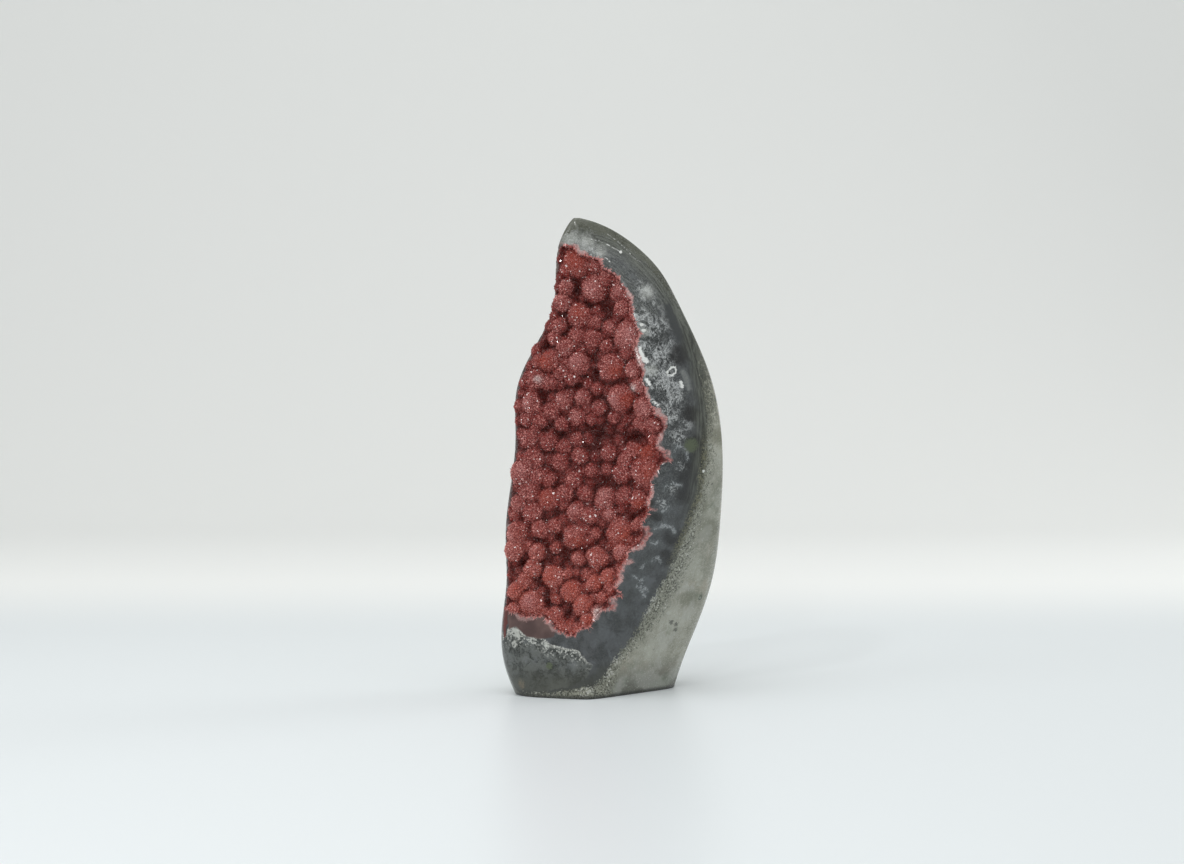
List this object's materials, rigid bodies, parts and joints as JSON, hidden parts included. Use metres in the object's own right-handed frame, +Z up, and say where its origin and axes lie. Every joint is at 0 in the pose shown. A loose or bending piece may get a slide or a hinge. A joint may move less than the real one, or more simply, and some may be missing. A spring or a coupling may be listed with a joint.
{
  "type": "standing druzy quartz geode specimen",
  "caption": "Tall sail-shaped slab of geode wall with a red druzy quartz face, a polished stone rim and a flat sawn base to stand on.",
  "frame": {"origin": "middle of the bounding box at the plane of the sawn base", "axes": "+Z up from the sawn base to the tip, -Y the way the druzy face looks, +X to the viewer's right"},
  "size_m": [0.0842, 0.058, 0.18],
  "materials": {
    "polished_basalt": "polished grey-green basalt with a dark agate band",
    "red_druzy_quartz": "glossy fine crystal points on round lumps"
  },
  "bodies": {
    "root": {"polished_matrix": "polished_basalt", "druzy_crust": "red_druzy_quartz"}
  },
  "joints": []
}
